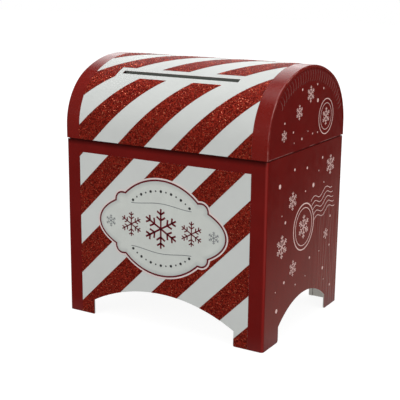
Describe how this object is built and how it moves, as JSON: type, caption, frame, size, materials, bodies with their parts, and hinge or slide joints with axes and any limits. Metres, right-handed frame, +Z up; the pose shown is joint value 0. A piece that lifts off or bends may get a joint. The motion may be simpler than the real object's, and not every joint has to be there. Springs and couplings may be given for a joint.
{
  "type": "tin money box",
  "caption": "Tin money box shaped like a post box: a folded sheet body standing on arched feet, with a hinged barrel lid that has a long money slot.",
  "frame": {"origin": "on the table, under the middle of the body", "axes": "+Z up, the front with the label faces -Y, +X to the right when looking at the front"},
  "size_m": [0.131, 0.1026, 0.1512],
  "materials": {
    "striped_print": "printed red and white stripes with glitter",
    "red_print": "satin red print",
    "bare_tinplate": "bare rolled tinplate",
    "steel_wire": "drawn wire"
  },
  "bodies": {
    "box": {"body_shell": "striped_print", "floor_pan": "bare_tinplate", "neck_collar": "bare_tinplate", "hinge_pin_left": "steel_wire", "hinge_pin_right": "steel_wire"},
    "lid": {"lid_barrel": "striped_print", "lid_end_left": "red_print", "lid_end_right": "red_print"}
  },
  "joints": [
    {"name": "lid_hinge", "type": "hinge", "parent": "box", "child": "lid", "pos_m": [0, 0.05115, 0.1053], "axis": [-1, 0, 0], "range_deg": [0, 110]}
  ]
}
